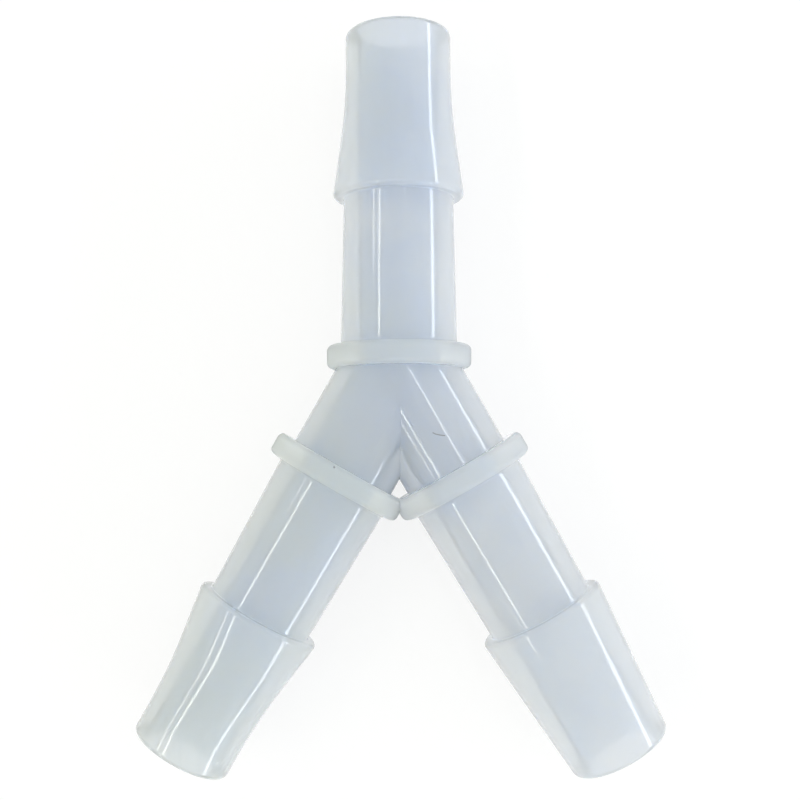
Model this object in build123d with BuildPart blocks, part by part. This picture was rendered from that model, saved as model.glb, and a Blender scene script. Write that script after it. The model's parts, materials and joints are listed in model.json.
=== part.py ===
"""A moulded Y connector for soft tubing: one hollow piece with a hose barb at each of its three ends.

Lengths are in millimetres. The connector lies flat, as it rests on a table: +Z is up, the trunk points along
+Y and the two branches spread towards -Y. The three axes lie in one level plane and meet at the crossing,
and the rims of the three collars touch the plane z = 0.
"""

import os
from math import cos, radians, sin

from build123d import *

# How the arms lie.
branch_spread = 60.0  # angle between the two branches, in degrees
trunk_collar_distance = 1.0  # from the crossing to the middle of the trunk's collar
branch_collar_distance = 10.1  # from the crossing to the middle of each branch's collar

# The way through the three arms.
bore_diameter = 6.0
mouth_lead = 0.3  # chamfer at the mouth of each bore

# The junction tubes, between the crossing and the collars.
junction_diameter = 9.0
crotch_rounding = 0.3  # along the crease where the two branches part

# The collar that the hose is pushed up to.
collar_diameter = 11.75
collar_thickness = 1.85
collar_edge = 0.35  # its rim is broken on both sides

# The stem that the hose sits on, with draft towards its end.
stem_root_diameter = 9.5
stem_end_diameter = 8.9
stem_length = 11.9

# The barb that grips the hose: a shoulder, a cone and a nose.
barb_diameter = 10.7
barb_length = 13.3
shoulder_edge = 0.3
nose_diameter = 8.5
nose_edge = 0.3
trunk_land = 5.7  # straight part of the nose, before the flare that ends at the shoulder
left_land = 5.7
right_land = 0.0  # this barb is a plain cone from its shoulder to its tip
flare_radius = 45.0  # the long curve that blends a land into its cone

# Every arm ends the same distance past its collar.
collar_radius = collar_diameter / 2
barb_radius = barb_diameter / 2
nose_radius = nose_diameter / 2
past_collar = collar_thickness / 2 + stem_length + barb_length
trunk_reach = trunk_collar_distance + past_collar
branch_reach = branch_collar_distance + past_collar

# The crossing is placed so that the middle of the outline, seen from above, is at x = 0, y = 0. A branch is
# lowest at the outer corner of its broken nose.
half_spread = radians(branch_spread / 2)
branch_drop = max(
    branch_reach * cos(half_spread) + (nose_radius - nose_edge) * sin(half_spread),
    (branch_reach - nose_edge) * cos(half_spread) + nose_radius * sin(half_spread),
)
crossing = Vector(0, (branch_drop - trunk_reach) / 2, collar_radius)

# Each arm: the way it points, its collar's distance from the crossing, and the land of its nose.
arms = [
    (Vector(0, 1, 0), trunk_collar_distance, trunk_land),
    (Vector(-sin(half_spread), -cos(half_spread), 0), branch_collar_distance, left_land),
    (Vector(sin(half_spread), -cos(half_spread), 0), branch_collar_distance, right_land),
]

with BuildPart() as y_connector:
    # Three plain tubes run from the crossing to the far faces of the collars.
    for direction, collar_distance, land in arms:
        with BuildSketch(Plane(origin=crossing, z_dir=direction)):
            Circle(junction_diameter / 2)
        extrude(amount=collar_distance + collar_thickness / 2)

    # The two branches meet in a crease on the plane x = 0, rounded from above round the crotch to below.
    middle_edges = y_connector.edges().filter_by(Plane.YZ).filter_by_position(Axis.X, -0.001, 0.001)
    creases = middle_edges.filter_by(GeomType.ELLIPSE).sort_by(SortBy.LENGTH)[-2:]
    fillet(creases, radius=crotch_rounding)

    # Past the tubes each arm is turned about its own axis: distances from the crossing run along X, radii
    # along Y.
    for direction, collar_distance, land in arms:
        collar_inner = collar_distance - collar_thickness / 2
        collar_outer = collar_distance + collar_thickness / 2
        shoulder = collar_outer + stem_length
        tip = shoulder + barb_length
        corners = [
            ((collar_inner, 0), 0),
            ((collar_inner, collar_radius), 0),
            ((collar_outer, collar_radius), 0),
            ((collar_outer, stem_root_diameter / 2), 0),
            ((shoulder, stem_end_diameter / 2), 0),
            ((shoulder, barb_radius), 0),
            ((tip - land, nose_radius), flare_radius),
            ((tip, nose_radius), 0),
            ((tip, 0), 0),
        ]
        if not land:
            corners.pop(6)
        with BuildSketch(Plane(origin=crossing, x_dir=direction, z_dir=(0, 0, 1))) as section:
            with BuildLine():
                FilletPolyline(
                    [point for point, rounding in corners],
                    radius=[rounding for point, rounding in corners],
                    close=True,
                )
            make_face()
            for distance, radius, edge in [
                (collar_inner, collar_radius, collar_edge),
                (collar_outer, collar_radius, collar_edge),
                (shoulder, barb_radius, shoulder_edge),
                (tip, nose_radius, nose_edge),
            ]:
                chamfer(section.vertices().sort_by_distance((distance, radius))[0], length=edge)
        revolve(axis=Axis(crossing, direction))

    # The bores are drilled from the three tips and meet at the crossing.
    for direction, collar_distance, land in arms:
        reach = collar_distance + past_collar
        with Locations(Plane(origin=crossing + direction * reach, z_dir=direction)):
            Hole(radius=bore_diameter / 2, depth=reach)
    mouths = y_connector.edges().filter_by(GeomType.CIRCLE).filter_by(
        lambda edge: edge.is_closed and abs(edge.radius - bore_diameter / 2) < 0.001
    )
    chamfer(mouths, length=mouth_lead)

y_connector.part.label = "y_connector"
os.makedirs("parts", exist_ok=True)
export_step(y_connector.part, "parts/y_connector.step")
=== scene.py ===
"""The looks of a moulded Y connector for soft tubing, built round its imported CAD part."""

import json
import math

import bpy
import numpy as np
from mathutils import Matrix, Vector


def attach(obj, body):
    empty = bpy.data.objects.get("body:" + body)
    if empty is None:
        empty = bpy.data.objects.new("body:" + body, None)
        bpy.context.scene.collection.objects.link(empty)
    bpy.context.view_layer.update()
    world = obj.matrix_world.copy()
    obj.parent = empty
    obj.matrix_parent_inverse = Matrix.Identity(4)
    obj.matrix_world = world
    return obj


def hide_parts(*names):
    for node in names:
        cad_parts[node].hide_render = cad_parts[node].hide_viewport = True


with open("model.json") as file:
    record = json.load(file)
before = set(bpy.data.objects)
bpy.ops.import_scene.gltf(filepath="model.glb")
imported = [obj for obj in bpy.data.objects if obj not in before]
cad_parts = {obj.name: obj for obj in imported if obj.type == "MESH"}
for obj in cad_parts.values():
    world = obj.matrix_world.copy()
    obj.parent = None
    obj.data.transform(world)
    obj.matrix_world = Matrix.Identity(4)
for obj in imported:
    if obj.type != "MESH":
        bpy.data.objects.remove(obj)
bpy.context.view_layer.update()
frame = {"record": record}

# ---------------------------------------------------------------------------------------------------------
# The connector: one hollow moulding of natural polypropylene, with a trunk and two branches. Each arm has a
# collar that the hose stops at, a stem with draft and a barb that grips. It is injected into a polished
# two-part mould round three steel core pins, which leave the bores, so every edge has a small rounding.
# ---------------------------------------------------------------------------------------------------------
mm = 0.001
around = 144  # steps round each arm
mouth_steps = 8
sharp_angle = 32.0  # degrees, past which an edge is left crisp

bore_radius = 3.0 * mm
mouth_rounding = 0.3 * mm
junction_radius = 4.5 * mm
collar_radius = 5.875 * mm
collar_thickness = 1.85 * mm
collar_rounding = 0.45 * mm
stem_root_radius = 4.75 * mm
stem_end_radius = 4.45 * mm
stem_length = 11.9 * mm
root_fillet = 0.35 * mm
barb_radius = 5.35 * mm
barb_length = 13.3 * mm
shoulder_rounding = 0.35 * mm
under_shoulder_fillet = 0.12 * mm
nose_radius = 4.25 * mm
nose_rounding = 0.47 * mm
flare_radius = 45.0 * mm
pin_overrun = 1.0 * mm
nose_land = 5.7 * mm
branch_collar_distance = 10.1 * mm
nose_lands = {"trunk": nose_land, "left": nose_land, "right": 0.0}
collar_distances = {"trunk": 1.0 * mm, "left": branch_collar_distance, "right": branch_collar_distance}


def rounded_outline(corners, steps=7):
    """Points of an open outline whose corners are arcs: each corner is (distance, radius from the axis,
    rounding), and its arc touches both sides at rounding x tan(half the turn) from the corner."""
    places = np.array([corner[:2] for corner in corners])
    points = [places[:1]]
    for before, here, after, (_, _, rounding) in zip(places, places[1:], places[2:], corners[1:-1]):
        if not rounding:
            points.append(here[None])
            continue
        arriving = (here - before) / np.linalg.norm(here - before)
        leaving = (after - here) / np.linalg.norm(after - here)
        turn = math.atan2(arriving[0] * leaving[1] - arriving[1] * leaving[0], arriving @ leaving)
        reach = rounding * math.tan(abs(turn) / 2)
        inward = math.copysign(1, turn) * np.array([-arriving[1], arriving[0]])
        swept = np.linspace(0, abs(turn), steps)[:, None]
        centre = here - arriving * reach + inward * rounding
        points.append(centre + rounding * (np.sin(swept) * arriving - np.cos(swept) * inward))
    return np.concatenate(points + [places[-1:]])


def turned_solid(name, start, direction, outline, phase):
    """A closed solid turned about an arm's axis. Point (distance, angle) is start + distance x direction
    + radius(distance) x (cos(angle) x side + sin(angle) x up), and the outline starts and ends on the axis.
    The phase turns the ring by a share of one step."""
    direction = np.array(direction, float)
    up = np.array([0.0, 0.0, 1.0])
    side = np.cross(direction, up)
    angle = (np.arange(around) + phase) * 2 * np.pi / around
    ring = np.cos(angle)[:, None] * side + np.sin(angle)[:, None] * up
    distance, radius = outline[1:-1].T
    rings = start + distance[:, None, None] * direction + radius[:, None, None] * ring
    poles = start + outline[[0, -1], 0][:, None] * direction
    points = np.concatenate([rings.reshape(-1, 3), poles])
    row = np.arange(len(distance) - 1)[:, None] * around
    step = np.arange(around)
    after = (step + 1) % around
    quads = np.stack([row + step, row + step + around, row + after + around, row + after], axis=-1)
    last = (len(distance) - 1) * around
    first_pole, last_pole = len(points) - 2, len(points) - 1
    first_cap = np.stack([step, after, np.full(around, first_pole)], axis=-1)
    last_cap = np.stack([last + after, last + step, np.full(around, last_pole)], axis=-1)
    faces = quads.reshape(-1, 4).tolist() + first_cap.tolist() + last_cap.tolist()
    mesh = bpy.data.meshes.new(name)
    mesh.from_pydata(points.tolist(), [], faces)
    mesh.update()
    solid = bpy.data.objects.new(name, mesh)
    bpy.context.scene.collection.objects.link(solid)
    return solid


def arm_outline(start, collar_distance, land):
    """The outside of one arm from near the crossing to its tip: tube, collar, stem, shoulder, barb, nose.
    From the shoulder the barb's side is straight, and an arc bends it into the land if the arm has one."""
    collar_inner = collar_distance - collar_thickness / 2
    collar_outer = collar_distance + collar_thickness / 2
    shoulder = collar_outer + stem_length
    tip = shoulder + barb_length
    flare = [(tip - land, nose_radius, flare_radius)] if land else []
    return rounded_outline([
        (start, 0.0, 0.0),
        (start, junction_radius, 0.0),
        (collar_inner, junction_radius, 0.0),
        (collar_inner, collar_radius, collar_rounding),
        (collar_outer, collar_radius, collar_rounding),
        (collar_outer, stem_root_radius, root_fillet),
        (shoulder, stem_end_radius, under_shoulder_fillet),
        (shoulder, barb_radius, shoulder_rounding),
        *flare,
        (tip, nose_radius, nose_rounding),
        (tip, 0.0, 0.0),
    ])


def bore_outline(start, reach):
    """The core pin that leaves one bore, from near the crossing to beyond the tip. Its trumpet mouth is a
    quarter circle: distance = reach - rounding x (1 - sin), radius = bore + rounding x (1 - cos)."""
    turn = np.linspace(0, np.pi / 2, mouth_steps)
    distance = reach - mouth_rounding * (1 - np.sin(turn))
    radius = bore_radius + mouth_rounding * (1 - np.cos(turn))
    beyond = reach + pin_overrun
    inner = [(start, 0.0), (start, bore_radius)]
    outer = [(beyond, bore_radius + mouth_rounding), (beyond, 0.0)]
    return np.concatenate([inner, np.stack([distance, radius], axis=-1), outer])


def joined(solid, others, operation):
    """The solid after the others are added to it or cut from it, one by one."""
    for other in others:
        step = solid.modifiers.new(operation, "BOOLEAN")
        step.operation = operation
        step.solver = "EXACT"
        step.object = other
        evaluated = solid.evaluated_get(bpy.context.evaluated_depsgraph_get())
        applied = bpy.data.meshes.new_from_object(evaluated)
        solid.modifiers.clear()
        solid.data = applied
        bpy.data.objects.remove(other)
    return solid


# Each arm starts a little past the crossing and is turned a little, by its own amounts, so that no points
# or faces of two arms coincide where they meet.
starts = {"trunk": -0.3 * mm, "left": -0.21 * mm, "right": -0.13 * mm}
phases = {"trunk": 0.5, "left": 0.17, "right": 0.81}

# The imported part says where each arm's tip is and which way it points. All lead back to one crossing.
mounts = {mount["name"]: mount for mount in frame["record"]["mounts"]}
arms = []
pins = []
for arm, land in nose_lands.items():
    reach = collar_distances[arm] + collar_thickness / 2 + stem_length + barb_length
    tip = np.array(mounts[arm + "_barb"]["pos_m"])
    direction = np.array(mounts[arm + "_barb"]["axis"])
    crossing = tip - reach * direction
    outside = arm_outline(starts[arm], collar_distances[arm], land)
    inside = bore_outline(starts[arm], reach)
    arms.append(turned_solid("arm_" + arm, crossing, direction, outside, phases[arm]))
    pins.append(turned_solid("pin_" + arm, crossing, direction, inside, phases[arm]))

connector = joined(arms[0], arms[1:], "UNION")
core = joined(pins[0], pins[1:], "UNION")
connector = joined(connector, [core], "DIFFERENCE")
connector.name = connector.data.name = "y_moulding"
connector.data.shade_smooth()
connector.data.set_sharp_from_angle(angle=math.radians(sharp_angle))

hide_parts("y_connector")
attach(connector, "root")


def from_hex(code):
    """An sRGB hex colour as linear red, green, blue and alpha."""
    levels = np.array([int(code[i:i + 2], 16) / 255 for i in (1, 3, 5)])
    linear = np.where(levels <= 0.04045, levels / 12.92, ((levels + 0.055) / 1.055) ** 2.4)
    return (*linear, 1.0)


def add_node(tree, kind, settings=(), links=()):
    """Adds a node: settings are (input or attribute, value) pairs, links (input, output socket) pairs."""
    node = tree.nodes.new(kind)
    for key, value in settings:
        if isinstance(key, str) and hasattr(node, key):
            setattr(node, key, value)
        else:
            node.inputs[key].default_value = value
    for key, socket in links:
        tree.links.new(socket, node.inputs[key])
    return node


# Natural polypropylene, injection moulded: no pigment, so its crystals scatter the light and it looks
# milky and slightly blue. The polished mould leaves a clear gloss with sharp reflections over that haze.
# The gloss has polypropylene's index of 1.49. The base's is fitted far lower, so that the bore shows
# through the wall at its own width.
plastic = bpy.data.materials.new("natural_polypropylene_moulded")
plastic.use_nodes = True
tree = plastic.node_tree
tree.nodes.clear()
place = add_node(tree, "ShaderNodeTexCoord").outputs["Object"]
colour_a, colour_b, colour_out = 6, 7, 2  # the sockets of a Mix node set to colours

cloud_size = 9.0  # mm, drifts of slightly bluer and greyer plastic along the flow
clouds = add_node(tree, "ShaderNodeTexNoise",
                  [("Scale", 1 / (cloud_size * mm)), ("Detail", 3.0), ("Roughness", 0.55)],
                  [("Vector", place)])
# Painted light: the drift along x paints the left side greener and the right side paler and bluer, as the
# light falls on it from each side. The noise clouds are the plastic's own uneven tone.
painted_light_drift_length = 60.0  # mm from left to right that would take the tint through its whole ramp
across = add_node(tree, "ShaderNodeSeparateXYZ", [], [("Vector", place)]).outputs["X"]
clouds_and_painted_light = add_node(tree, "ShaderNodeMath", [("operation", "MULTIPLY_ADD"), (1, 1 / (painted_light_drift_length * mm))],
                 [(0, across), (2, clouds.outputs["Fac"])])
tint_and_painted_light = add_node(tree, "ShaderNodeValToRGB", [], [("Fac", clouds_and_painted_light.outputs[0])])
# The ramp runs from greener to bluer to paler: its paler right end is painted light from the right.
tints = {0.3: "#D9DEDF", 0.5: "#D7DDE6", 0.7: "#E0E4E8"}
tint_and_painted_light.color_ramp.elements.new(0.5)
for stop, (position, code) in zip(tint_and_painted_light.color_ramp.elements, tints.items()):
    stop.position = position
    stop.color = from_hex(code)


def stroke(first, last, width):
    """A mask on the skin along a line from first to last, in mm: 1 within half the width of it, fading to 0
    at the whole width. The line's nearest point is first + (last - first) x a share kept in 0 to 1."""
    along = (Vector(last) - Vector(first)) * mm
    offset = add_node(tree, "ShaderNodeVectorMath", [("operation", "SUBTRACT"), (1, Vector(first) * mm)],
                      [(0, place)]).outputs["Vector"]
    per_length = along / along.length_squared
    share = add_node(tree, "ShaderNodeVectorMath", [("operation", "DOT_PRODUCT"), (1, per_length)],
                     [(0, offset)]).outputs["Value"]
    share = add_node(tree, "ShaderNodeClamp", [], [("Value", share)]).outputs[0]
    nearest = add_node(tree, "ShaderNodeVectorMath", [("operation", "SCALE"), (0, along)],
                       [("Scale", share)]).outputs["Vector"]
    gap = add_node(tree, "ShaderNodeVectorMath", [("operation", "DISTANCE")],
                   [(0, offset), (1, nearest)]).outputs["Value"]
    return add_node(tree, "ShaderNodeMapRange", [("From Min", width * mm), ("From Max", width / 2 * mm)],
                    [("Value", gap)]).outputs[0]


# Dirt that it picked up: one short bent fibre on the right branch and a speck on the left collar, with
# their places and widths in mm.
dirt_colour = from_hex("#8F8D8A")
fibre_width = 0.05
speck_width = 0.12
fibre = [(2.48, -2.17, 10.35), (2.68, -2.27, 10.36), (2.99, -2.34, 10.37), (3.40, -2.39, 10.37)]
speck = [(-5.15, -4.60, 11.72), (-5.17, -4.80, 11.73)]
dirt = stroke(*speck, speck_width)
for first, last in zip(fibre, fibre[1:]):
    dirt = add_node(tree, "ShaderNodeMath", [("operation", "MAXIMUM")],
                    [(0, dirt), (1, stroke(first, last, fibre_width))]).outputs[0]
skin_colour = add_node(tree, "ShaderNodeMix", [("data_type", "RGBA"), (colour_b, dirt_colour)],
                       [("Factor", dirt), (colour_a, tint_and_painted_light.outputs["Color"])]).outputs[colour_out]

ripple_size = 1.6  # mm, slight waves that the cooling leaves in the skin
ripple_height = 0.02  # mm
haze_depth = 6.0  # mm that light spreads under the skin
ripple = add_node(tree, "ShaderNodeTexNoise",
                  [("Scale", 1 / (ripple_size * mm)), ("Detail", 2.0), ("Roughness", 0.5)],
                  [("Vector", place)])
skin = add_node(tree, "ShaderNodeBump", [("Strength", 0.18), ("Distance", ripple_height * mm)],
                [("Height", ripple.outputs["Fac"])])
milky = [("IOR", 1.1), ("Roughness", 0.4), ("Transmission Weight", 0.6), ("Subsurface Weight", 1.0),
         ("Subsurface Radius", (1.0, 1.1, 1.3)), ("Subsurface Scale", haze_depth * mm),
         ("Coat IOR", 1.49)]
polished = [("Coat Weight", 1.0), ("Coat Roughness", 0.08)]
satin = [("Coat Weight", 0.35), ("Coat Roughness", 0.5)]
shader = add_node(tree, "ShaderNodeBsdfPrincipled", milky + polished,
                  [("Base Color", skin_colour), ("Coat Normal", skin.outputs["Normal"])])
add_node(tree, "ShaderNodeOutputMaterial", [], [("Surface", shader.outputs["BSDF"])])


# The collars are the same plastic, dull, even and a little paler, as from a part of the mould that isn't
# polished. The bores are as dull, from their core pins, and darker and bluer: a painted shade in the
# hollow, which shows through the haze as a darker, bluer band.
def satin_plastic(name, codes):
    """The moulded plastic with a dull skin and its own three tints."""
    material = plastic.copy()
    material.name = name
    for key, value in satin:
        material.node_tree.nodes[shader.name].inputs[key].default_value = value
    for stop, code in zip(material.node_tree.nodes[tint_and_painted_light.name].color_ramp.elements, codes):
        stop.color = from_hex(code)
    return material


collar_tints = ["#DEE4E2", "#DFE4E6", "#E4E8EC"]
# Painted shade: the bores' tints are darker and bluer than the rest of the plastic.
bore_painted_shade_tints = ["#D0D7DE", "#CCD5E6", "#DADFE8"]
connector.data.materials.clear()
connector.data.materials.append(plastic)
connector.data.materials.append(satin_plastic("natural_polypropylene_satin", collar_tints))
connector.data.materials.append(satin_plastic("natural_polypropylene_bore_painted_shade", bore_painted_shade_tints))

# A face belongs to a collar or a bore by its place along its arm's axis and its distance from it.
collar_finish = 1
bore_painted_shade_finish = 2
centres = np.empty(len(connector.data.polygons) * 3)
connector.data.polygons.foreach_get("center", centres)
from_crossing = centres.reshape(-1, 3) - crossing
finish = np.zeros(len(from_crossing), int)
for arm, collar_distance in collar_distances.items():
    direction = np.array(mounts[arm + "_barb"]["axis"])
    distance = from_crossing @ direction
    radius = np.linalg.norm(from_crossing - distance[:, None] * direction, axis=1)
    beside_collar = np.abs(distance - collar_distance) < collar_thickness / 2 + root_fillet
    collar_band = (radius > stem_root_radius + root_fillet) & (radius < collar_radius + root_fillet)
    finish[beside_collar & collar_band] = collar_finish
    inside_bore = (distance > -bore_radius) & (radius < bore_radius + mouth_rounding / 2)
    finish[inside_bore] = bore_painted_shade_finish
connector.data.polygons.foreach_set("material_index", finish)

# ---------------------------------------------------------------------------------------------------------
# The table: a plain white sheet of paper, on which the connector lies loose. Seen directly it is mostly
# its own even white, and the rest is lit, so the connector's shadow stays on it.
# ---------------------------------------------------------------------------------------------------------
sheet_half_width = 1.5
corner = np.array([(-1, -1), (1, -1), (1, 1), (-1, 1)]) * sheet_half_width
sheet_mesh = bpy.data.meshes.new("table_sheet")
sheet_mesh.from_pydata([(x, y, 0.0) for x, y in corner], [], [(0, 1, 2, 3)])
table_sheet = bpy.data.objects.new("table_sheet", sheet_mesh)
bpy.context.scene.collection.objects.link(table_sheet)


def seen_directly(tree):
    """A mask: 1 for rays from the camera, off a gloss or through the plastic, and 0 for the others."""
    ray = add_node(tree, "ShaderNodeLightPath").outputs
    seen = ray["Is Camera Ray"]
    for kind in ("Is Glossy Ray", "Is Transmission Ray"):
        seen = add_node(tree, "ShaderNodeMath", [("operation", "MAXIMUM")],
                        [(0, seen), (1, ray[kind])]).outputs[0]
    return seen


paper = bpy.data.materials.new("white_sheet")
paper.use_nodes = True
tree = paper.node_tree
tree.nodes.clear()
even_share = 0.8
share = add_node(tree, "ShaderNodeMath", [("operation", "MULTIPLY"), (1, even_share)],
                 [(0, seen_directly(tree))])
lit = add_node(tree, "ShaderNodeBsdfDiffuse", [("Color", from_hex("#FAFAFA"))])
even = add_node(tree, "ShaderNodeEmission", [("Color", from_hex("#FFFFFF")), ("Strength", 1.0)])
mix = add_node(tree, "ShaderNodeMixShader", [],
               [("Fac", share.outputs[0]), (1, lit.outputs[0]), (2, even.outputs[0])])
add_node(tree, "ShaderNodeOutputMaterial", [], [("Surface", mix.outputs[0])])
sheet_mesh.materials.append(paper)

# ---------------------------------------------------------------------------------------------------------
# The light: an even white room, faintly warm on the left, and five strip lamps. A wide one low on the
# right and two narrow ones on the left lie along the trunk, one hangs near the middle and one is low by the
# right branch, so that each arm carries long thin reflections.
# ---------------------------------------------------------------------------------------------------------
world = bpy.data.worlds.new("white_room")
world.use_nodes = True
tree = world.node_tree
tree.nodes.clear()
room_strength = 0.94
left_wall = from_hex("#F6F6E4")
right_wall = from_hex("#F2F8FF")
white = from_hex("#FFFFFF")
seen = seen_directly(tree)
level = add_node(tree, "ShaderNodeMapRange", [("To Min", room_strength), ("To Max", 1.0)],
                 [("Value", seen)])
towards = add_node(tree, "ShaderNodeTexCoord").outputs["Generated"]
sideways = add_node(tree, "ShaderNodeSeparateXYZ", [], [("Vector", towards)]).outputs["X"]
side = add_node(tree, "ShaderNodeMapRange", [("From Min", -1.0), ("From Max", 1.0)],
                [("Value", sideways)])
walls = add_node(tree, "ShaderNodeMix",
                 [("data_type", "RGBA"), (colour_a, left_wall), (colour_b, right_wall)],
                 [("Factor", side.outputs[0])])
plain = add_node(tree, "ShaderNodeMix", [("data_type", "RGBA"), (colour_b, white)],
                 [("Factor", seen), (colour_a, walls.outputs[colour_out])])
room = add_node(tree, "ShaderNodeBackground", [],
                [("Color", plain.outputs[colour_out]), ("Strength", level.outputs[0])])
add_node(tree, "ShaderNodeOutputWorld", [], [("Surface", room.outputs[0])])
bpy.context.scene.world = world


def strip_light(name, first, last, width, radiance, colour):
    """A strip lamp between two points in metres, facing the connector, of even radiance in W per m2 per
    steradian. Its energy in watts is 4 x radiance x width x length."""
    middle = (Vector(first) + Vector(last)) / 2
    along = (Vector(last) - Vector(first)).normalized()
    facing = (middle - along * middle.dot(along)).normalized()
    lamp = bpy.data.lights.new(name, "AREA")
    lamp.shape = "RECTANGLE"
    lamp.size = width
    lamp.size_y = (Vector(last) - Vector(first)).length
    lamp.energy = 4 * radiance * lamp.size * lamp.size_y
    lamp.color = from_hex(colour)[:3]
    holder = bpy.data.objects.new(name, lamp)
    turn = Matrix((along.cross(facing), along, facing)).transposed().to_4x4()
    holder.matrix_world = Matrix.Translation(middle) @ turn
    holder.visible_camera = False
    bpy.context.scene.collection.objects.link(holder)


strip_light("right_strip", (0.57, -0.64, 0.215), (0.57, 0.42, 0.215), 0.075, 6.2, "#F0F7FF")
strip_light("left_strip", (-0.35, -0.47, 0.50), (-0.44, 0.21, 0.50), 0.034, 8.0, "#FFFFF4")
strip_light("far_left_strip", (-0.475, -0.42, 0.42), (-0.571, 0.168, 0.42), 0.026, 6.0, "#FFFFF4")
strip_light("overhead_strip", (0.111, 0.106, 0.60), (0.157, 0.025, 0.60), 0.026, 9.0, "#FFFFFF")
strip_light("low_right_strip", (0.34, -0.38, 0.24), (0.41, -0.64, 0.15), 0.050, 6.0, "#F4F9FF")

# ---------------------------------------------------------------------------------------------------------
# The camera: a close-up lens that looks straight down on the table, a little below and left of the
# crossing, with its frame shifted so that the connector fills it.
# ---------------------------------------------------------------------------------------------------------
eye = Vector(crossing) + Vector((-2.81, -7.13, 92.71)) * mm
target = Vector(crossing) + Vector((-2.90, -9.02, 0.0)) * mm
roll = 0.00414
back = (eye - target).normalized()
right = Vector((0.0, 1.0, 0.0)).cross(back).normalized()
top = back.cross(right)
across_frame = math.cos(roll) * right - math.sin(roll) * top
up_frame = math.sin(roll) * right + math.cos(roll) * top
view = bpy.data.cameras.new("view")
view.lens = 51.02
view.sensor_width = 36.0
view.shift_x = 0.045
view.shift_y = 0.1
view.clip_start = 1.0 * mm
camera = bpy.data.objects.new("view", view)
turn = Matrix((across_frame, up_frame, back)).transposed().to_4x4()
camera.matrix_world = Matrix.Translation(eye) @ turn
bpy.context.scene.collection.objects.link(camera)
bpy.context.scene.camera = camera
bpy.context.scene.view_settings.view_transform = "Standard"
